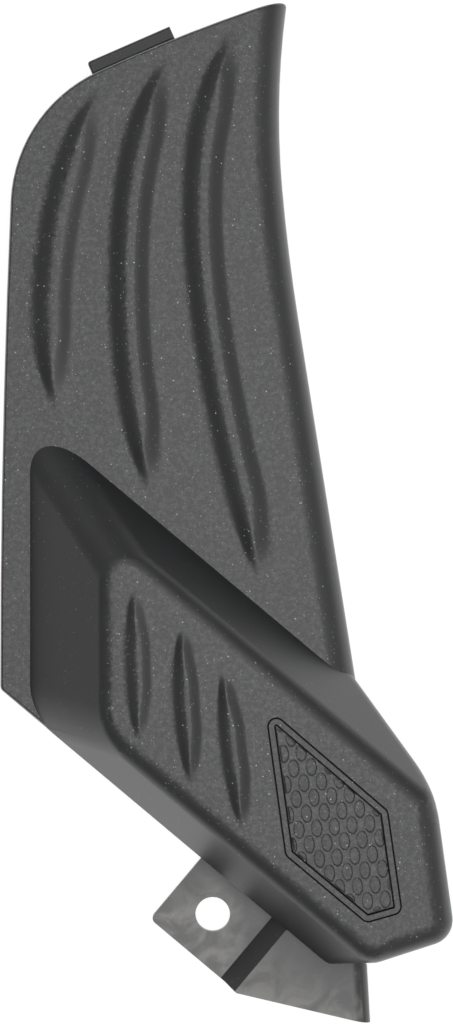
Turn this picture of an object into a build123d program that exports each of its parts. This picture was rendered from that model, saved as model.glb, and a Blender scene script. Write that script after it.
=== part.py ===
from build123d import *
import math
import os

os.makedirs("parts", exist_ok=True)

# Scooter floorboard, one injection moulding of grained plastic.
# Millimetres. The origin is the middle of the fixing hole at the underside of its lug,
# +Z is up out of the tread face and +Y runs along the panel to its front tip.

# Shell
wall = 2.5
panel_top = 14.0
rim_roll = 12.0
edge_round = 1.2
hollow_runout = 1.0

# Panel outline, from the front tip clockwise
front_tip = (30.0, 368.6)
rim_waist = (28.2, 293.2)
rim_turn = (34.7, 240.5)
rim_lean = 9.0
rim_length = 165.0
panel_left = -85.0
left_bow = (-84.05, 188.3)
front_corner = (-79.2, 322.7)
front_corner_round = 60.0
front_bow = (-12.2, 353.5)
strip_corner_round = 3.0

# Foot block: a trapezoid ridge that crosses the rear of the panel
block_turn = -40.0
block_setback = 15.7
block_foot_width = 92.0
block_crown_width = 62.0
block_rise = 28.0
block_round = 10.0
ramp_foot = -73.0
ramp_crown = -41.8
ramp_hip_round = 30.0
far_hip_round = 15.5
block_tuck = 5.0
block_overrun = 4.5

# Corners at the block's outer end: along the block, and across it from its near or far foot
block_heel = (49.3, 0.1)
block_heel_round = 11.0
block_toe = (75.9, 42.4)
block_shoulder = (32.4, -10.3)
block_shoulder_round = 50.0
block_notch = (-18.8, 2.6)

# Long grip ridges on the panel: points on the foot's outer side and on its inner side, front to rear
panel_ridges = [
    (
        [(-48.6, 333.5), (-63.4, 307.5), (-74.2, 251.5), (-66.6, 204.3)],
        [(-41.0, 320.3), (-47.0, 297.5), (-54.2, 251.5), (-57.0, 211.5)],
    ),
    (
        [(-21.0, 343.5), (-35.8, 314.7), (-43.4, 259.5), (-39.4, 209.5), (-27.8, 173.5)],
        [(-13.8, 330.7), (-18.6, 307.5), (-23.8, 259.5), (-20.2, 209.5), (-19.8, 182.7)],
    ),
    (
        [(7.0, 356.3), (-9.0, 325.9), (-13.8, 281.5), (-5.0, 205.5), (15.4, 132.7)],
        [(13.0, 343.5), (8.2, 311.5), (6.6, 275.5), (15.8, 205.5), (25.8, 146.3)],
    ),
]
panel_ridge_rise = 2.8
panel_ridge_runout = 11.0

# Short grip ridges on the block, in the same order
block_ridges = [
    (
        [(-31.6, 132.8), (-34.7, 111.0), (-34.3, 89.6), (-28.1, 71.3)],
        [(-24.9, 126.2), (-22.4, 109.0), (-22.6, 91.5), (-24.6, 77.9)],
    ),
    (
        [(-12.5, 117.6), (-15.4, 93.5), (-14.4, 72.1), (-7.8, 54.6)],
        [(-7.8, 111.4), (-3.8, 93.5), (-3.0, 78.7), (-4.3, 62.0)],
    ),
    (
        [(3.8, 100.1), (2.1, 77.9), (4.0, 56.6), (11.6, 38.3)],
        [(9.3, 95.4), (13.7, 77.9), (15.3, 63.2), (15.1, 44.9)],
    ),
]
block_ridge_rise = 1.9
block_ridge_runout = 6.0

# Section of every ridge: where its crest lies across the foot, and half the crest's width
crest_share = 0.55
crest_half = 0.6
nose_share = 0.2
ridge_bands = 4
channel_bands = 1
channel_draw = 0.25

# Scaled pad on the block
pad_corners = [(20.1, 88.2), (28.3, 29.1), (59.8, 2.7), (74.2, 6.8), (68.5, 46.7)]
pad_corner_round = 3.6
pad_depth = 1.3
pad_root = 0.4
pad_line = 0.7
pad_bead = 2.0
pad_bead_proud = 0.3
pad_field_drop = 0.3
scale_pitch = 6.9
scale_shift = 1.2
scale_lean = 5.0
scale_size = (1.9, 3.4)
scale_sides = 12
scale_tilt = 13.0
scale_proud = 0.1
scale_draft = 45.0

# Fixing lug and the shelf beside it
hole_radius = 7.0
lug_thickness = 3.0
lug_front = -18.2
lug_rear = 19.0
lug_side = -17.7
lug_corner_round = 2.5
shelf_top = 10.0
shelf_tuck = 14.3
step_run = 7.0
shelf_side = (27.1, -17.2)
shelf_end = (76.6, 7.8)
shelf_back = (60.9, 24.5)
shelf_roll = 7.0

# Locating tongue at the front edge
tongue_middle = (-31.3, 344.5)
tongue_turn = 23.6
tongue_width = 36.0
tongue_reach = 6.6
tongue_thickness = 3.0
tongue_drop = 3.0
tongue_sink = 0.4
tongue_joggle = 1.8
tongue_corner_round = 1.2

# Stiffening ribs underneath
rib_thickness = 1.8
rib_depth = 5.0
rib_pitch = 43.0
rib_rows = 8
rib_start = 20.0

block_top = panel_top + block_rise
block_plane = Plane.XY.rotated((0, 0, block_turn))
foot_near = block_setback
foot_far = block_setback + block_foot_width
crown_near = foot_near + (block_foot_width - block_crown_width) / 2
crown_far = foot_far - (block_foot_width - block_crown_width) / 2


def turned(u, v):
    """Plan point at u along the block and v across it from the hole."""
    a = math.radians(block_turn)
    return (u * math.cos(a) - v * math.sin(a), u * math.sin(a) + v * math.cos(a))


def across_at(x, v):
    """Plan point at x on the line that runs along the block at v across it."""
    a = math.radians(block_turn)
    return (x, (v + x * math.sin(a)) / math.cos(a))


def along_near_side(x):
    """Plan point at x on the line of the block's near side."""
    return across_at(x, foot_near)


def drawn_in(face, inset):
    """A plan face with its sides moved in by an inset and its corners kept sharp."""
    return offset(face, -inset, kind=Kind.INTERSECTION) if inset > 0 else face


def raised(face, top, inset):
    """A plan face raised to a height; one that is drawn in starts below the skirt, to cut it open."""
    low = -hollow_runout if inset > 0 else 0
    return Pos(0, 0, low) * extrude(face, top - low)


def nearest(form, point):
    """The edge of a form that passes closest to a point."""
    return form.edges().sort_by_distance(point)[0]


def slope(foot, crown, outward):
    """Plane of a side that climbs from a foot line at panel level to a crown line."""
    run = (Vector(*foot) - Vector(*crown)).dot(Vector(*outward))
    normal = Vector(outward[0] * block_rise, outward[1] * block_rise, run)
    return Plane(origin=(foot[0], foot[1], panel_top), z_dir=normal)


def panel(inset):
    """Flat panel with its outer edge rolled over, drawn in by an inset."""
    lean = math.radians(rim_lean)
    down = Vector(math.sin(lean), -math.cos(lean))
    rim_end = Vector(*rim_turn) + down * rim_length
    strip_corner = along_near_side(panel_left)
    inner = along_near_side(panel_left / 2)
    flare = TangentArc(rim_turn, rim_waist, tangent=-down)
    brow = TangentArc(rim_waist, front_tip, tangent=flare % 1)
    straight = Line(rim_turn, rim_end)
    edges = [
        flare,
        brow,
        straight,
        Line(rim_end, inner),
        Line(inner, strip_corner),
        ThreePointArc(strip_corner, left_bow, front_corner),
        ThreePointArc(front_corner, front_bow, front_tip),
    ]
    face = drawn_in(make_face(edges), inset)
    face = fillet(face.vertices().sort_by_distance(front_corner)[0], front_corner_round - inset)
    face = fillet(face.vertices().sort_by_distance(strip_corner)[0], strip_corner_round - inset)
    top = panel_top - inset
    form = raised(face, top, inset)
    rim = [nearest(form, (line @ 0.5) + Vector(0, 0, top)) for line in (flare, brow, straight)]
    form = fillet(rim, rim_roll - inset)
    if inset > 0:
        return form
    crisp = [
        nearest(form, (*left_bow, top)),
        nearest(form, (*front_corner, top)),
        nearest(form, (*front_bow, top)),
        nearest(form, (*front_tip, top)),
        nearest(form, (*front_tip, edge_round / 2)),
    ]
    return fillet(crisp, edge_round)


def block(inset):
    """Foot block: a wedge with three sloped sides and round hips, cut off upright at its outer end."""
    top = block_top - inset
    room = 2 * front_tip[1]
    wedge = raised(Rectangle(room, room).face(), top, inset)
    sides = [
        slope(turned(0, foot_far), turned(0, crown_far), turned(0, 1)),
        slope(turned(0, foot_near), turned(0, crown_near), turned(0, -1)),
        slope((ramp_foot, 0), (ramp_crown, 0), (-1, 0)),
    ]
    for side in sides:
        wedge = split(wedge, bisect_by=side.offset(-inset), keep=Keep.BOTTOM)
    hip_x = (ramp_foot + ramp_crown) / 2
    hip_z = panel_top + block_rise / 2
    near_hip = (*across_at(hip_x, (foot_near + crown_near) / 2), hip_z)
    far_hip = (*across_at(hip_x, (foot_far + crown_far) / 2), hip_z)
    wedge = fillet(nearest(wedge, near_hip), ramp_hip_round - inset)
    wedge = fillet(nearest(wedge, far_hip), far_hip_round - inset)

    tuck = panel_left + block_tuck
    far = foot_far + block_overrun
    heel = Vector(*turned(block_heel[0], foot_near + block_heel[1]))
    toe = Vector(*turned(block_toe[0], foot_near + block_toe[1]))
    shoulder = Vector(*turned(block_shoulder[0], foot_far + block_shoulder[1]))
    notch = Vector(*turned(block_notch[0], foot_far + block_notch[1]))
    notch_end = shoulder + (notch - shoulder) * (block_overrun - block_shoulder[1]) / (
        block_notch[1] - block_shoulder[1]
    )
    outline = [along_near_side(tuck), heel, toe, shoulder, notch_end, across_at(tuck, far)]
    face = drawn_in(make_face(Polyline(*outline, close=True)), inset)
    face = fillet(face.vertices().sort_by_distance(shoulder)[0], block_shoulder_round - inset)
    face = fillet(face.vertices().sort_by_distance(toe)[0], block_round - inset)
    form = wedge & raised(face, block_top, inset)
    heel_lift = (crown_near - foot_near) / 2 / block_toe[1]
    heel_middle = heel + (toe - heel) * heel_lift
    notch_middle = (notch * 3 + shoulder) / 4
    form = fillet(nearest(form, (heel_middle.X, heel_middle.Y, hip_z)), block_heel_round - inset)
    form = fillet(nearest(form, (notch_middle.X, notch_middle.Y, panel_top)), block_round - inset)
    return fillet(form.edges().group_by(Axis.Z)[-1], block_round - inset)


def ridge(outer, inner, runout, rise, seat, bands, draw=0):
    """Grip ridge: foot and crest are closed curves of two sides each, joined by S-shaped flanks.

    A draw above 0 starts the flanks that share of the way from the foot to the crest.
    """
    outer = [Vector(*point) for point in outer]
    inner = [Vector(*point) for point in inner]
    middle = [a + (b - a) * crest_share for a, b in zip(outer, inner)]
    aside = [(a - b).normalized() * crest_half for a, b in zip(outer, inner)]
    noses = []
    peaks = []
    for end, beside in ((0, 1), (-1, -2)):
        inward = (middle[beside] - middle[end]).normalized()
        nose = inward * nose_share * (outer[end] - inner[end]).length
        noses.append((outer[end] + inner[end]) / 2 - nose)
        peaks.append(middle[end] + inward * runout)
        middle[end] = (peaks[-1] + middle[beside]) / 2
        aside[end] = aside[end] - inward * aside[end].dot(inward)
    foot = [[noses[0], *outer, noses[1]], [noses[0], *inner, noses[1]]]
    crest = [
        [peaks[0], *(a + b for a, b in zip(middle, aside)), peaks[1]],
        [peaks[0], *(a - b for a, b in zip(middle, aside)), peaks[1]],
    ]
    sections = []
    for band in range(bands + 1):
        climb = band / bands
        share = draw + (1 - draw) * climb
        lift = rise * (1 - math.cos(math.pi * climb)) / 2
        sides = []
        for low_side, high_side in zip(foot, crest):
            sides.append(Spline(*(low + (high - low) * share for low, high in zip(low_side, high_side))))
        sections.append(Pos(0, 0, seat + lift) * make_face(sides))
    return loft(sections, ruled=True)


def long_ridges(inset):
    """The three ridges on the panel, or the channels under them when drawn in by an inset."""
    bands, draw = (channel_bands, channel_draw) if inset > 0 else (ridge_bands, 0)
    size = (panel_ridge_runout, panel_ridge_rise, panel_top - inset)
    return [ridge(*sides, *size, bands, draw) for sides in panel_ridges]


def short_ridges():
    """The three low ridges on the block, solid underneath."""
    return [
        ridge(*sides, block_ridge_runout, block_ridge_rise, block_top, ridge_bands)
        for sides in block_ridges
    ]


def shelf(inset):
    """Shelf behind the lug: a sloped step up from the lug, and an end that rolls down."""
    top = shelf_top - inset
    climb = (shelf_top - lug_thickness) / step_run
    draw = inset * math.hypot(1, climb) / climb
    foot = lug_rear - lug_thickness / climb + draw
    crown = foot + top / climb
    under_block = block_setback + shelf_tuck
    outline = [
        (lug_rear - step_run, lug_side),
        shelf_side,
        shelf_end,
        shelf_back,
        (shelf_back[0] - shelf_tuck, under_block),
        (lug_rear - step_run, under_block),
    ]
    form = raised(drawn_in(make_face(Polyline(*outline, close=True)), inset), top, inset)
    start = -hollow_runout if inset > 0 else 0
    end = ((shelf_end[0] + shelf_back[0]) / 2, (shelf_end[1] + shelf_back[1]) / 2, top)
    form = fillet(nearest(form, end), shelf_roll - inset)
    past_end = shelf_end[0] + step_run
    profile = Plane.XZ * make_face(
        Polyline(
            (foot + start / climb, start),
            (crown, top),
            (past_end, top),
            (past_end, start),
            close=True,
        )
    )
    return block_plane * (form & extrude(profile, block_foot_width, both=True))


def lug():
    """Flat lug round the fixing hole, with the hole left for the finished board."""
    face = make_face(
        Polyline(
            (lug_front, lug_side),
            (lug_rear + lug_thickness, lug_side),
            (lug_rear + lug_thickness, block_setback + wall),
            (lug_front, block_setback + wall),
            close=True,
        )
    )
    face = fillet(face.vertices().sort_by_distance((lug_front, lug_side))[0], lug_corner_round)
    return block_plane * extrude(face, lug_thickness)


def tongue():
    """Locating tongue, joggled down from the front edge so that it tucks under a neighbour."""
    top = panel_top - tongue_drop
    profile = make_face(
        Polyline(
            (-wall, panel_top - tongue_sink),
            (0, panel_top - tongue_sink),
            (tongue_joggle, top),
            (tongue_reach, top),
            (tongue_reach, top - tongue_thickness),
            (-wall, top - tongue_thickness),
            close=True,
        )
    )
    profile = fillet(profile.vertices().sort_by_distance((tongue_reach, top))[0], tongue_thickness / 2)
    form = extrude(Plane.YZ * profile, tongue_width / 2, both=True)
    low = top - tongue_thickness
    ends = [nearest(form, (side, tongue_reach, low)) for side in (-tongue_width / 2, tongue_width / 2)]
    form = fillet(ends, tongue_corner_round)
    return Pos(*tongue_middle, 0) * Rot(0, 0, tongue_turn) * form


def pad_outline(inset):
    """Five-sided pad outline with rounded corners, drawn in by an inset."""
    line = FilletPolyline(*pad_corners, radius=pad_corner_round, close=True)
    face = make_face(line)
    return offset(face, -inset) if inset > 0 else face


def scale():
    """One scale: a low many-sided cone stump, tilted so that only its outer edge stands proud."""
    faces = []
    for lift in (-pad_depth, scale_proud):
        spread = (scale_proud - lift) * math.tan(math.radians(scale_draft))
        turns = [2 * math.pi * side / scale_sides for side in range(scale_sides)]
        across = scale_size[0] + spread
        along = scale_size[1] + spread
        rim = [(across * math.cos(turn), along * math.sin(turn)) for turn in turns]
        faces.append(Pos(0, 0, lift) * make_face(Polyline(*rim, close=True)))
    return Rot(0, 0, scale_lean) * Rot(0, -scale_tilt, 0) * loft(faces, ruled=True)


def pad():
    """Bead and scaled field that stand in the pad's shallow recess."""
    floor = block_top - pad_depth - pad_root
    bead = pad_outline(pad_line) - pad_outline(pad_line + pad_bead)
    bead = Pos(0, 0, floor) * extrude(bead, block_top + pad_bead_proud - floor)
    field_face = pad_outline(2 * pad_line + pad_bead)
    field_top = block_top - pad_field_drop
    field = Pos(0, 0, floor) * extrude(field_face, field_top - floor)
    middle = Vector(scale_shift, 0)
    for corner in pad_corners:
        middle = middle + Vector(*corner) / len(pad_corners)
    reach = max((Vector(*corner) - middle).length for corner in pad_corners)
    count = math.ceil(reach / scale_pitch)
    one = scale()
    scales = []
    lean = math.radians(scale_lean)
    for row in range(-count, count + 1):
        for column in range(-2 * count, 2 * count + 1):
            u = scale_pitch * (column + row / 2)
            v = scale_pitch * row * math.sqrt(3) / 2
            x = middle.X + u * math.cos(lean) - v * math.sin(lean)
            y = middle.Y + u * math.sin(lean) + v * math.cos(lean)
            if field_face.distance_to(Vertex(x, y, 0)) < scale_size[0] / 2:
                scales.append(Pos(x, y, field_top) * one)
    limit = Pos(0, 0, floor) * extrude(field_face, block_rise)
    scales = Part() + scales
    return bead + (field + (scales & limit))


def rib_slabs():
    """Upright slabs that cross the whole underside from side to side."""
    rows = [rib_start + row * rib_pitch for row in range(rib_rows)]
    slab = Box(2 * front_tip[1], rib_thickness, 2 * block_top)
    return [Pos(0, y, 0) * slab for y in rows]


outer = panel(0) + block(0)
outer = outer + long_ridges(0) + short_ridges()
hollow = panel(wall) + block(wall)
below_ribs = panel(wall / 2) + block(wall / 2)
ribs = Part() + rib_slabs() - Pos(0, 0, -rib_depth - wall / 2) * below_ribs
hollow = hollow + long_ridges(wall)
side_hollow = shelf(wall) - block(0)
floorboard = outer + shelf(0) + lug() + tongue()
floorboard = floorboard - (hollow - ribs) - side_hollow
floorboard = floorboard - Pos(0, 0, block_top - pad_depth) * extrude(pad_outline(0), block_rise)
floorboard = floorboard + pad()
floorboard = floorboard - Cylinder(hole_radius, 2 * block_top)
print(floorboard.is_valid, len(floorboard.solids()), floorboard.volume, floorboard.bounding_box())
export_step(floorboard, "parts/floorboard.step")
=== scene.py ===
"""Looks of a scooter floorboard: one moulding of grained dark grey plastic, seen from above."""

import math
from collections import namedtuple

import bpy
import numpy as np
from mathutils.geometry import delaunay_2d_cdt
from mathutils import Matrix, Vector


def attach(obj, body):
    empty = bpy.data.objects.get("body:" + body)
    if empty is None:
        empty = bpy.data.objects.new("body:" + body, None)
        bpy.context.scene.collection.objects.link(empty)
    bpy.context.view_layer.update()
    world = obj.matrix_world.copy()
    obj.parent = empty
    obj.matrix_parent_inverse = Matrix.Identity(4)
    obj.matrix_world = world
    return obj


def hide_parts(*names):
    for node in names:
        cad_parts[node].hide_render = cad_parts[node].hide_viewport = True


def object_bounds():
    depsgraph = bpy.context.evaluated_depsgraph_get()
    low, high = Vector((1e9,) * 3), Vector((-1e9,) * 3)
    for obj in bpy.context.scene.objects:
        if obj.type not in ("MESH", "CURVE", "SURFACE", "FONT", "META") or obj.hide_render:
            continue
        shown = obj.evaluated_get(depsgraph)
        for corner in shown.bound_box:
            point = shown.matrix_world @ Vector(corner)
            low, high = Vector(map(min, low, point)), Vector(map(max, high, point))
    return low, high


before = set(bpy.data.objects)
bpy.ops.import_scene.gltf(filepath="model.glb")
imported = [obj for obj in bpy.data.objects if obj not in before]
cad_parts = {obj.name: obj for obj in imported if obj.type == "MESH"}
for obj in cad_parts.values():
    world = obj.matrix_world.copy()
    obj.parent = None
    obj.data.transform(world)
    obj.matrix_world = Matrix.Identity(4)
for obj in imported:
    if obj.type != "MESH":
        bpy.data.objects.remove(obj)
cad_low, cad_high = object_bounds()

MM = 0.001

# The board, in millimetres and degrees, as it is modelled
PANEL_TOP = 14.0
PANEL_ROUND = 1.2
BLOCK_TOP = 42.0
BLOCK_TURN = 40.0
BLOCK_FOOT = 107.7
BLOCK_FOOT_ROOM = 3.0
SHELF_TOP = 10.0
SHELF_TUCK = 15.0
TONGUE_TOP = 11.0
SHARP_EDGE = 25.0
TINY = 0.001

# Crescent ridges: each line is the middle of a ridge's outer flank, from front to rear
RidgeForm = namedtuple(
    "RidgeForm",
    "seat rise outer_flank inner_flank gap end_gap end_flank front_fade rear_fade softness soft_run step",
)
PANEL_RIDGE = RidgeForm(PANEL_TOP, 2.8, 9.6, 8.2, 10.4, 3.5, 5.0, 24.0, 20.0, 1.5, 40.0, 0.8)
PANEL_RIDGE_LINES = (
    ((-43.4, 334.1), (-58.7, 307.1), (-65.9, 278.3), (-69.1, 244.7), (-60.6, 200.7)),
    ((-16.6, 346.1), (-30.7, 318.3), (-38.1, 270.3), (-36.7, 222.3), (-23.8, 168.5)),
    ((10.2, 357.3), (-4.6, 324.7), (-9.0, 281.9), (-1.7, 215.1), (19.4, 133.3)),
)
PANEL_RIDGE_SHARES = (0.86, 1.0, 1.0)
BLOCK_RIDGE = RidgeForm(BLOCK_TOP, 1.9, 6.6, 5.6, 6.6, 2.0, 3.6, 10.0, 12.0, 1.4, 26.0, 0.5)
BLOCK_RIDGE_LINES = (
    ((-29.8, 134.3), (-31.9, 118.8), (-31.9, 102.8), (-30.8, 86.5), (-27.3, 71.3)),
    ((-11.1, 119.5), (-13.3, 104.4), (-13.1, 88.1), (-11.3, 71.7), (-7.4, 55.0)),
    ((4.4, 102.4), (3.9, 87.3), (5.0, 71.7), (7.5, 55.8), (12.4, 37.9)),
)
BLOCK_RIDGE_SHARES = (0.86, 1.0, 1.0)

# Pad on the block: its corners, the lines and the bead round its field, and the scales on the field
PAD_CORNERS = ((20.1, 88.2), (28.3, 29.1), (59.8, 2.7), (74.2, 6.8), (68.5, 46.7))
PAD_INSET = 3.4
PAD_MARGIN = 0.3
PAD_FIELD = BLOCK_TOP - 0.3
PAD_LINE_TOP = BLOCK_TOP - 0.8
PAD_STEP = 0.3
SCALE_PITCH = 6.9
SCALE_SHIFT = 1.2
SCALE_LEAN = 5.0
SCALE_HALF = (2.25, 3.7)
SCALE_RISE = 0.5
SCALE_SIDE = 0.35
SCALE_TILT = 0.4

# How near the border of a tread its fine points come, and where their heights start to ease off
BORDER_ROOM = 0.2
BORDER_EASE = 0.6

# Where each finish starts and is full, by how far a face looks upwards, from 0 for a wall to 1 for a top
UNDERSIDE_FACING = -0.5
TOP_FACING = 0.01
TREAD_FACING = (0.80, 0.95)
GRAIN_FACING = (0.95, 0.995)
LEDGE_FACING = 0.8
EDGE_FACING = (0.05, 0.88)

# A face that drops further than this is a side of the block, and treads lie above this level
WALL_DROP = 10.0
TREAD_FLOOR = SHELF_TOP + 2

# The plastic: its own colour, the painted sheen on lug and shelf, the painted glints, the painted shade in
# the pad's lines and on the tongue, and the painted highlight on the panel's rounded edge
BODY = (0.0165, 0.017, 0.018)
# Painted sheen: the streaked, paler colour of lug and shelf
SHEEN_DARK = (0.031, 0.031, 0.030, 1)
SHEEN_PALE = (0.130, 0.127, 0.120, 1)
# Painted glints: tints of the bright specks
GLINT_WARM = (0.50, 0.46, 0.40, 1)
GLINT_COOL = (0.38, 0.44, 0.50, 1)
# Painted shade: a dark matt surface mixed over the pad's lines and part of the tongue
SHADE_DARK = (0.004, 0.004, 0.004, 1)
LINE_SHADE = 0.9
TONGUE_SHADE = 0.5
# Painted highlight: how much the panel's rounded edge is lightened
EDGE_HIGHLIGHT_GAIN = 8.0
LEAST_TONE = 0.1
PLASTIC_IOR = 1.5

# Patterns in the plastic, and the streaks of the painted sheen and the cells of the painted glints, in
# waves or cells to a metre
GRAIN_SCALE = 1300
MOTTLE_SCALE = 520
CLOUD_SCALE = 60
SHEEN_STREAK_SCALE = 70
BOLD_SCALE = 450
FINE_SCALE = 770

# How strongly the patterns change the colour, and the fine relief, in metres
GRAIN_GAIN = 5.0
MOTTLE_GAIN = 7.5
CLOUD_GAIN = 0.3
RELIEF = 0.45
RELIEF_DEPTH = 0.00012
SIDE_ROUGHNESS = 0.40
TREAD_ROUGHNESS = 0.44
MOTTLE_ROUGHNESS = 0.2
LEDGE_POLISH = 0.1

# The studio, in metres: the white floor, and the soft box over the board
FLOOR_GLOW = 1.6
FLOOR_WHITE = 1.06
FLOOR_DROP = 0.0002
FLOOR_REACH = 8.0
FLOOR_SIDES = 64
BOX_SIZE = (1.4, 2.2)
BOX_HEIGHT = 1.75
BOX_SHIFT = 0.10
BOX_GLOW = 3.5
ROOM_DIM = 0.20
ROOM_RIGHT = 0.52
ROOM_FRONT_SHADE = 0.7
ROOM_FRONT_LEFT = 0.3

# The view from straight above
PHOTO_HEIGHT = 1024
PHOTO_SCALE = 0.4
VIEW_CENTRE = (5.58, 162.7)
VIEW_DISTANCE = 1000.0
SENSOR = 36.0


class Shade:
    """One output of a shader tree. Arithmetic on it adds Math nodes to its tree."""

    def __init__(self, tree, socket=None):
        self.tree = tree
        self.socket = socket

    def node(self, kind, settings=(), inputs=(), output=0):
        """Adds a node: its settings first, then the values or links of its sockets."""
        made = self.tree.nodes.new(kind)
        for name, value in dict(settings).items():
            setattr(made, name, value)
        for name, value in dict(inputs).items():
            if isinstance(value, Shade):
                self.tree.links.new(value.socket, made.inputs[name])
            else:
                made.inputs[name].default_value = value
        return Shade(self.tree, made.outputs[output] if len(made.outputs) else None)

    def math(self, operation, first, second=0.0):
        return self.node("ShaderNodeMath", {"operation": operation}, {0: first, 1: second})

    def __add__(self, other):
        return self.math("ADD", self, other)

    def __radd__(self, other):
        return self.math("ADD", other, self)

    def __sub__(self, other):
        return self.math("SUBTRACT", self, other)

    def __rsub__(self, other):
        return self.math("SUBTRACT", other, self)

    def __mul__(self, other):
        return self.math("MULTIPLY", self, other)

    def __rmul__(self, other):
        return self.math("MULTIPLY", other, self)

    def between(self, low, high):
        """0 at or below low, 1 at or above high, eased in between."""
        settings = {"interpolation_type": "SMOOTHSTEP"}
        inputs = {"Value": self, "From Min": low, "From Max": high}
        return self.node("ShaderNodeMapRange", settings, inputs)

    def mix(self, first, second, factor):
        """Colour that goes from first to second with the factor."""
        inputs = {0: factor, 6: first, 7: second}
        return self.node("ShaderNodeMix", {"data_type": "RGBA"}, inputs, output=2)


def new_material(name):
    """An empty material and the start of its tree."""
    material = bpy.data.materials.new(name)
    material.use_nodes = True
    material.node_tree.nodes.clear()
    return material, Shade(material.node_tree)


def painted_glints(tree, place, scale, radius, share):
    """Painted glints: scattered bright specks, one in each picked cell, each with its own strength and
    tint.
    """
    cells = {"Vector": place, "Scale": scale}
    gap = tree.node("ShaderNodeTexVoronoi", (), cells)
    picks = tree.node("ShaderNodeTexVoronoi", (), cells, output="Color")
    chance = tree.node("ShaderNodeSeparateColor", (), {"Color": picks})
    strength = Shade(tree.tree, chance.socket.node.outputs[1])
    tint = Shade(tree.tree, chance.socket.node.outputs[2])
    speck = 1 - gap.between(radius / 2, radius)
    return speck * chance.between(1 - share, 1.02 - share) * strength * strength, tint


def grained_plastic():
    """Dark grey moulding plastic: grained on the treads, smooth on the sides, with a painted sheen making
    lug and shelf paler, painted glints, painted shade in the pad's lines and on the tongue, and a painted
    highlight on the panel's rounded edge.
    """
    material, tree = new_material("grained_plastic")
    place = tree.node("ShaderNodeTexCoord", output="Object")
    tread, rough, painted_shade, ledge, edge = [
        tree.node("ShaderNodeAttribute", {"attribute_name": name}, output="Fac")
        for name in ("tread", "grain", "painted_shade", "ledge", "edge")
    ]
    grain = tree.node("ShaderNodeTexNoise", (), {"Vector": place, "Scale": GRAIN_SCALE, "Detail": 2})
    mottle = tree.node("ShaderNodeTexNoise", (), {"Vector": place, "Scale": MOTTLE_SCALE, "Detail": 2})
    cloud = tree.node("ShaderNodeTexNoise", (), {"Vector": place, "Scale": CLOUD_SCALE, "Detail": 4})
    # Painted glints: bright specks in the base colour, stronger on the treads
    bold, bold_tint = painted_glints(tree, place, BOLD_SCALE, 0.16, 0.5)
    fine, fine_tint = painted_glints(tree, place, FINE_SCALE, 0.20, 0.7)
    streaks = {"Vector": place, "Scale": SHEEN_STREAK_SCALE, "Detail": 5, "Distortion": 1.5}
    # Streaks for the painted sheen on lug and shelf, and for their roughness
    sheen_streaks = tree.node("ShaderNodeTexNoise", (), streaks).between(0.36, 0.66)
    patches = (grain - 0.5) * (GRAIN_GAIN * rough) + (mottle - 0.5) * (MOTTLE_GAIN * rough)
    tone = 1 + patches + (cloud - 0.5) * CLOUD_GAIN
    # Painted highlight: the panel's rounded edge is lightened
    tone = tone.math("MAXIMUM", tone, LEAST_TONE) + edge * EDGE_HIGHLIGHT_GAIN
    body = tree.node("ShaderNodeVectorMath", {"operation": "SCALE"}, {0: BODY, "Scale": tone})
    # Painted sheen: lug and shelf take a paler, streaked colour in place of the body colour
    body = tree.mix(body, tree.mix(SHEEN_DARK, SHEEN_PALE, sheen_streaks), ledge)
    fine_colour = tree.mix(GLINT_WARM, GLINT_COOL, fine_tint)
    bold_colour = tree.mix(GLINT_WARM, GLINT_COOL, bold_tint)
    colour = tree.mix(body, fine_colour, fine * (0.15 + tread * 0.45))
    colour = tree.mix(colour, bold_colour, bold * (0.30 + tread * 0.60))
    height = (grain + mottle) * rough
    relief = tree.node(
        "ShaderNodeBump", (), {"Strength": RELIEF, "Distance": RELIEF_DEPTH, "Height": height}
    )
    roughness = SIDE_ROUGHNESS + tread * (TREAD_ROUGHNESS - SIDE_ROUGHNESS)
    roughness = roughness + (mottle - 0.5) * (rough * MOTTLE_ROUGHNESS)
    roughness = roughness + (sheen_streaks - 1) * (ledge * LEDGE_POLISH)
    plastic = tree.node(
        "ShaderNodeBsdfPrincipled",
        (),
        {
            "Base Color": colour,
            "Roughness": roughness,
            "Normal": relief,
            "IOR": PLASTIC_IOR,
        },
    )
    # Painted shade: a dark matt surface mixed in over the pad's lines and part of the tongue
    dark = tree.node("ShaderNodeBsdfDiffuse", (), {"Color": SHADE_DARK})
    surface = tree.node("ShaderNodeMixShader", (), {0: painted_shade * LINE_SHADE, 1: plastic, 2: dark})
    tree.node("ShaderNodeOutputMaterial", (), {"Surface": surface})
    return material


def paper_white():
    """Studio floor: white to the eye and in reflections, and a plain matt white to the light."""
    material, tree = new_material("paper_white")
    camera = tree.node("ShaderNodeLightPath", output="Is Camera Ray")
    glossy = Shade(tree.tree, camera.socket.node.outputs["Is Glossy Ray"])
    through = Shade(tree.tree, camera.socket.node.outputs["Is Transmission Ray"])
    matt = tree.node("ShaderNodeBsdfDiffuse", (), {"Color": (0.9, 0.9, 0.9, 1)})
    glow = FLOOR_WHITE + glossy * (FLOOR_GLOW - FLOOR_WHITE)
    lit = tree.node("ShaderNodeEmission", (), {"Color": (1, 1, 1, 1), "Strength": glow})
    share = camera * 0.85 + glossy + through
    surface = tree.node("ShaderNodeMixShader", (), {0: share, 1: matt, 2: lit})
    tree.node("ShaderNodeOutputMaterial", (), {"Surface": surface})
    return material


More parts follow.
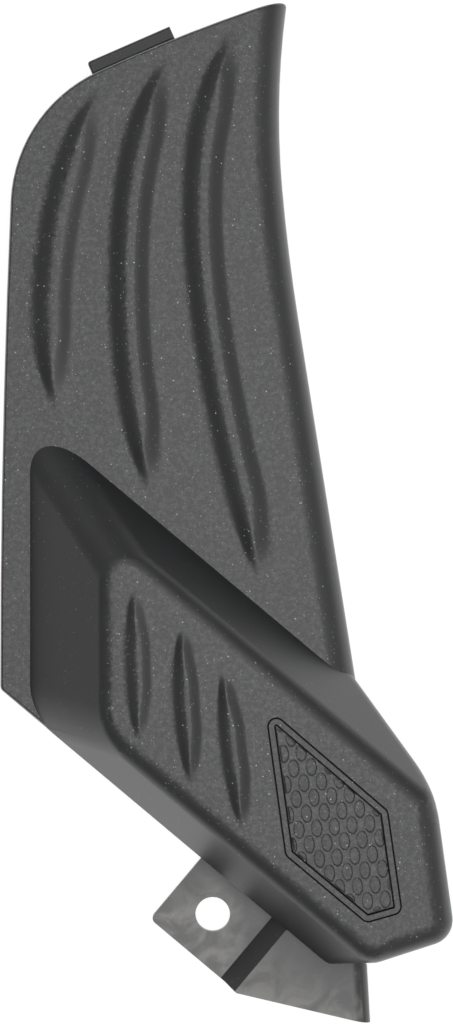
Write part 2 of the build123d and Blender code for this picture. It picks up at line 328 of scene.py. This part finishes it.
def merged_solid(node):
    """The node's corners, in millimetres, and triangles, with corners at one place made one."""
    source = node.data
    places = np.empty(len(source.vertices) * 3)
    source.vertices.foreach_get("co", places)
    corners = np.empty(len(source.loops), dtype=np.int64)
    source.loops.foreach_get("vertex_index", corners)
    places = places.reshape(-1, 3) / MM
    keys = np.round(places * 1e4).astype(np.int64)
    first, merged = np.unique(keys, axis=0, return_index=True, return_inverse=True)[1:]
    triangles = merged.reshape(-1)[corners].reshape(-1, 3)
    whole = (np.diff(np.sort(triangles, axis=1), axis=1) > 0).all(axis=1)
    return places[first], triangles[whole]


def ease(share):
    """0 at or below 0, 1 at or above 1, and half a cosine wave in between."""
    return 0.5 - 0.5 * np.cos(math.pi * np.clip(share, 0, 1))


def covered(points, border, edges):
    """True for each point inside the border, where a ray to the right crosses it an odd number of times."""
    start = border[edges[:, 0]]
    end = border[edges[:, 1]]
    height = points[:, 1:2]
    passed = (start[:, 1] > height) != (end[:, 1] > height)
    climb = np.where(end[:, 1] == start[:, 1], 1, end[:, 1] - start[:, 1])
    crossing = start[:, 0] + (height - start[:, 1]) * (end[:, 0] - start[:, 0]) / climb
    return (passed & (points[:, :1] < crossing)).sum(axis=1) % 2 == 1


def clearance(points, border, edges):
    """Distance of each point from the nearest edge of the border."""
    start = border[edges[:, 0]]
    way = border[edges[:, 1]] - start
    offset = points[:, None] - start
    share = np.clip((offset * way).sum(axis=2) / (way**2).sum(axis=1), 0, 1)
    return np.linalg.norm(offset - share[:, :, None] * way, axis=2).min(axis=1)


def border_of(triangles):
    """Corners of the edges that only one of the triangles has, and those edges by corner."""
    sides = np.concatenate([triangles[:, [0, 1]], triangles[:, [1, 2]], triangles[:, [2, 0]]])
    found, uses = np.unique(np.sort(sides, axis=1), axis=0, return_counts=True)
    corners, edges = np.unique(found[uses == 1], return_inverse=True)
    return corners, edges.reshape(-1, 2)


def reskinned(places, triangles, old, grids, seat):
    """Takes the old triangles off and nets their border anew, through the points of the grids.

    A grid's point keeps its height over the seat, eased to nothing where it nears the border.
    """
    corners, edges = border_of(triangles[old])
    border = places[corners, :2]
    fresh = []
    for grid in grids:
        room = clearance(grid[:, :2], border, edges)
        inner = covered(grid[:, :2], border, edges) & (room > BORDER_ROOM)
        height = (grid[:, 2] - seat) * ease(room / BORDER_EASE)
        fresh.append(np.column_stack([grid[:, :2], seat + height])[inner])
    fresh = np.concatenate(fresh)
    flat = np.concatenate([border, fresh[:, :2]])
    net = delaunay_2d_cdt(flat.tolist(), edges.tolist(), [], 1, TINY)
    origin = np.array([source[0] for source in net[3]])
    skin = origin[np.array(net[2])]
    skin = skin[covered(flat[skin].mean(axis=1), border, edges)]
    index = np.concatenate([corners, len(places) + np.arange(len(fresh))])
    return np.concatenate([places, fresh]), np.concatenate([triangles[~old], index[skin]])


def smooth_line(points, shares):
    """Places along the polynomial curve through the points, by share of the way along their chords."""
    points = np.array(points)
    chords = np.hypot(*np.diff(points, axis=0).T)
    stops = np.concatenate([[0], np.cumsum(chords)]) / chords.sum()
    curves = np.polyfit(stops, points, len(points) - 1)
    return np.stack([np.polyval(curves[:, axis], shares) for axis in (0, 1)], axis=1)


def ridge_grid(line, share, form):
    """Skin of one crescent ridge, with its share of the full rise, as points along and across its line.

    Across, the height is an eased rise over the outer flank times an eased fall over the inner one.
    Along, it eases in from the front and out to the rear. Towards both ends the outer flank and the gap
    between the flanks narrow, and the inner flank softens to a slower fall.
    """
    points = np.array(line)
    length = np.hypot(*np.diff(points, axis=0).T).sum()
    middle = smooth_line(line, np.linspace(0, 1, round(length / form.step)))
    way = np.gradient(middle, axis=0)
    run = np.hypot(*way.T)
    along = np.cumsum(run)[:, None] - run[0]
    inward = np.stack([-way[:, 1], way[:, 0]], axis=1) / run[:, None]
    left = along[-1] - along
    soft = 1 - ease(np.minimum(along, left) / form.soft_run)
    gap = form.gap + (form.end_gap - form.gap) * soft
    climb = form.outer_flank + (form.end_flank - form.outer_flank) * soft
    fall = form.inner_flank * (1 + (form.softness - 1) * soft)
    reach = climb / 2 + gap + fall / 2
    across = reach * np.linspace(0, 1, round(reach.max() / form.step) + 1) - climb / 2
    rise = ease(across / climb + 0.5) * ease((gap - across) / fall + 0.5)
    ends = ease(along / form.front_fade) * ease(left / form.rear_fade)
    plan = middle[:, None] + inward[:, None] * across[:, :, None]
    height = form.seat + share * form.rise * rise * ends
    return np.concatenate([plan, height[:, :, None]], axis=2).reshape(-1, 3)


def upward(places, triangles):
    """How far each triangle faces upwards: 1 for a level top, 0 for a wall, -1 for an underside."""
    first, second, third = places[triangles].transpose(1, 0, 2)
    facing = np.cross(second - first, third - first)
    return facing[:, 2] / np.maximum(np.linalg.norm(facing, axis=1), TINY**2)


def with_ridges(places, triangles, form, lines, shares, tread):
    """Trades the ridges of one tread for fine ones: they are laid flat, and the tread gets a new skin."""
    under = np.isin(np.arange(len(places)), triangles[upward(places, triangles) < UNDERSIDE_FACING])
    height = places[:, 2] - form.seat
    ridge = tread & ~under & (height > TINY) & (height < form.rise + TINY)
    places = np.where(ridge[:, None] & (np.arange(3) == 2), form.seat, places)
    flat = np.abs(places[:, 2] - form.seat) < TINY
    grids = [ridge_grid(line, share, form) for line, share in zip(lines, shares)]
    return reskinned(places, triangles, flat[triangles].all(axis=1), grids, form.seat)


def pad_border(inset):
    """Corners of the pad's outline, drawn in by an inset, and its edges by corner."""
    corners = np.array(PAD_CORNERS)
    way = np.roll(corners, -1, axis=0) - corners
    inward = np.stack([-way[:, 1], way[:, 0]], axis=1) / np.hypot(*way.T)[:, None]
    level = (inward * corners).sum(axis=1) + inset
    before = np.roll(inward, 1, axis=0)
    meeting = np.linalg.solve(
        np.stack([before, inward], axis=1), np.stack([np.roll(level, 1), level], axis=1)[:, :, None]
    )
    count = np.arange(len(corners))
    return meeting[:, :, 0], np.stack([count, (count + 1) % len(corners)], axis=1)


def scale_heights(plan):
    """Height of the pad's scales over its field: ovals in rows, each tilted up to its right-hand edge.

    An oval is picked by the nearest centre in the two rows next to a point.
    """
    lean = math.radians(SCALE_LEAN)
    offset = plan - np.mean(PAD_CORNERS, axis=0) - [SCALE_SHIFT, 0]
    u = offset @ [math.cos(lean), math.sin(lean)]
    v = offset @ [-math.sin(lean), math.cos(lean)]
    spacing = SCALE_PITCH * math.sqrt(3) / 2
    row = np.floor(v / spacing) + np.arange(2)[:, None]
    column = np.round(u / SCALE_PITCH - row / 2)
    across = (u - SCALE_PITCH * (column + row / 2)) / SCALE_HALF[0]
    gap = np.hypot(across, (v - spacing * row) / SCALE_HALF[1])
    across = np.where(gap[0] < gap[1], across[0], across[1])
    side = np.clip((1 - gap.min(axis=0)) * SCALE_HALF[0] / SCALE_SIDE, 0, 1)
    return SCALE_RISE * side * (1 - SCALE_TILT + SCALE_TILT * across)


def with_scales(places, triangles):
    """Trades the pad's field for a fine one with oval scales."""
    border, edges = pad_border(PAD_INSET - TINY)
    middle = places[triangles].mean(axis=1)
    old = covered(middle[:, :2], border, edges) & (middle[:, 2] > PAD_LINE_TOP)
    old = old & (upward(places, triangles) > TOP_FACING)
    low = border.min(axis=0)
    high = border.max(axis=0)
    x, y = np.meshgrid(*[np.arange(low[axis], high[axis], PAD_STEP) for axis in (0, 1)])
    plan = np.stack([x.ravel(), y.ravel()], axis=1)
    grid = np.column_stack([plan, PAD_FIELD + scale_heights(plan)])
    return reskinned(places, triangles, old, [grid], PAD_FIELD)


def across_block(places):
    """Place of each point across the block, from its near side to the panel."""
    turn = math.radians(BLOCK_TURN)
    return places[:, 0] * math.sin(turn) + places[:, 1] * math.cos(turn)


def part_way(values, low, high):
    """0 for values at or below low, 1 at or above high, and straight in between."""
    return np.clip((values - low) / (high - low), 0, 1)


def mark_finish_and_painted_light(mesh, places, on_pad):
    """Writes where each finish and each painted light or shade is, by the corner of a face and the way it
    faces.

    Tread is on the panel and block tops, grain on their levelest parts, painted shade in the pad's lines
    and a little on the tongue, ledge (painted sheen, and a smoother finish) on the lug and the shelf, and a
    painted highlight on the rounded edge of the panel. The sides of the block have none of them.
    """
    corners = np.empty(len(mesh.loops), dtype=np.int32)
    mesh.loops.foreach_get("vertex_index", corners)
    normal = np.empty(len(mesh.loops) * 3, dtype=np.float32)
    mesh.corner_normals.foreach_get("vector", normal)
    facing = normal.reshape(-1, 3)[:, 2]
    level = places[corners, 2]
    across = across_block(places)[corners]
    wall = np.repeat(np.ptp(level.reshape(-1, 3), axis=1) > WALL_DROP, 3)
    high = (level > TREAD_FLOOR) & ~wall
    flat = part_way(facing, *TREAD_FACING)
    rounded = (facing > EDGE_FACING[0]) & (facing < EDGE_FACING[1])
    line = on_pad[corners] & (level < PAD_LINE_TOP)
    drop = PANEL_TOP - level
    tongue = (np.abs(level - TONGUE_TOP) < TINY) & (across > BLOCK_FOOT)
    finishes = {
        "tread": high * flat * ~line,
        "grain": high * part_way(facing, *GRAIN_FACING) * ~line,
        # Painted shade in the pad's lines and on the tongue
        "painted_shade": line + TONGUE_SHADE * tongue * flat,
        # ledge: painted sheen, and a smoother finish, on lug and shelf
        "ledge": (facing > LEDGE_FACING) * (level < SHELF_TOP + TINY) * (across < SHELF_TUCK),
        # edge: painted highlight on the panel's rounded edge
        "edge": ~wall * (drop > TINY) * (drop < PANEL_ROUND + TINY) * rounded,
    }
    for name, values in finishes.items():
        mesh.attributes.new(name, "FLOAT", "CORNER")
        mesh.attributes[name].data.foreach_set("value", values.astype(np.float32))


def moulding(node, material):
    """The whole board as one closed, smooth-shaded moulding: the solid with finer ridges and scales."""
    places, triangles = merged_solid(node)
    tread = across_block(places) > BLOCK_FOOT - BLOCK_FOOT_ROOM
    places, triangles = with_ridges(
        places, triangles, PANEL_RIDGE, PANEL_RIDGE_LINES, PANEL_RIDGE_SHARES, tread
    )
    pad = pad_border(-PAD_MARGIN)
    tread = ~covered(places[:, :2], *pad)
    places, triangles = with_ridges(
        places, triangles, BLOCK_RIDGE, BLOCK_RIDGE_LINES, BLOCK_RIDGE_SHARES, tread
    )
    places, triangles = with_scales(places, triangles)
    used, triangles = np.unique(triangles, return_inverse=True)
    places = places[used]
    mesh = bpy.data.meshes.new("floorboard_moulding")
    mesh.from_pydata(places * MM, [], triangles.reshape(-1, 3))
    mesh.validate()
    mesh.shade_smooth()
    mesh.set_sharp_from_angle(angle=math.radians(SHARP_EDGE))
    mark_finish_and_painted_light(mesh, places, covered(places[:, :2], *pad))
    mesh.materials.append(material)
    board = bpy.data.objects.new("floorboard_moulding", mesh)
    bpy.context.scene.collection.objects.link(board)
    weighted = board.modifiers.new("even_faces", "WEIGHTED_NORMAL")
    weighted.keep_sharp = True
    weighted.weight = 100
    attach(board, "root")
    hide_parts("floorboard")


def studio_floor(level, reach):
    """Round white floor under the board."""
    turn = np.linspace(0, 2 * math.pi, FLOOR_SIDES, endpoint=False)
    rim = np.stack([reach * np.cos(turn), reach * np.sin(turn), np.full(FLOOR_SIDES, level)], axis=1)
    mesh = bpy.data.meshes.new("studio_floor")
    mesh.from_pydata(rim, [], [range(FLOOR_SIDES)])
    mesh.materials.append(paper_white())
    floor = bpy.data.objects.new("studio_floor", mesh)
    bpy.context.scene.collection.objects.link(floor)


def overhead_light():
    """A long soft box over the board, a little to its right, as its reflections on the treads need."""
    light = bpy.data.lights.new("overhead_box", "AREA")
    light.shape = "RECTANGLE"
    light.size, light.size_y = BOX_SIZE
    light.energy = BOX_GLOW * math.pi * light.size * light.size_y
    box = bpy.data.objects.new("overhead_box", light)
    box.location = (VIEW_CENTRE[0] * MM + BOX_SHIFT, VIEW_CENTRE[1] * MM, BOX_HEIGHT)
    bpy.context.scene.collection.objects.link(box)


def room():
    """World light: dim on the left and brighter on the right, but at the front the other way round."""
    world = bpy.data.worlds.new("room")
    world.use_nodes = True
    world.node_tree.nodes.clear()
    tree = Shade(world.node_tree)
    way = tree.node("ShaderNodeTexCoord", output="Generated")
    across = tree.node("ShaderNodeSeparateXYZ", (), {0: way}, output="X")
    along = Shade(tree.tree, across.socket.node.outputs["Y"])
    front = along.between(0.15, 0.7)
    shade = 1 - front * across.between(-0.1, 0.4) * ROOM_FRONT_SHADE
    strength = (ROOM_DIM + across.between(-0.2, 0.8) * ROOM_RIGHT) * shade
    strength = strength + front * (1 - across.between(-0.5, 0.0)) * ROOM_FRONT_LEFT
    light = tree.node("ShaderNodeBackground", (), {"Color": (1, 1, 1, 1), "Strength": strength})
    tree.node("ShaderNodeOutputWorld", (), {"Surface": light})
    bpy.context.scene.world = world


def camera_above():
    """Camera straight above the board, framed as the picture is."""
    camera = bpy.data.cameras.new("camera_above")
    camera.sensor_width = SENSOR
    camera.lens = SENSOR * VIEW_DISTANCE / (PHOTO_HEIGHT * PHOTO_SCALE)
    holder = bpy.data.objects.new("camera_above", camera)
    holder.location = (VIEW_CENTRE[0] * MM, VIEW_CENTRE[1] * MM, (PANEL_TOP + VIEW_DISTANCE) * MM)
    bpy.context.scene.collection.objects.link(holder)
    bpy.context.scene.camera = holder


moulding(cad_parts["floorboard"], grained_plastic())
studio_floor(cad_low.z - FLOOR_DROP, FLOOR_REACH)
overhead_light()
room()
camera_above()
bpy.context.scene.view_settings.view_transform = "Standard"
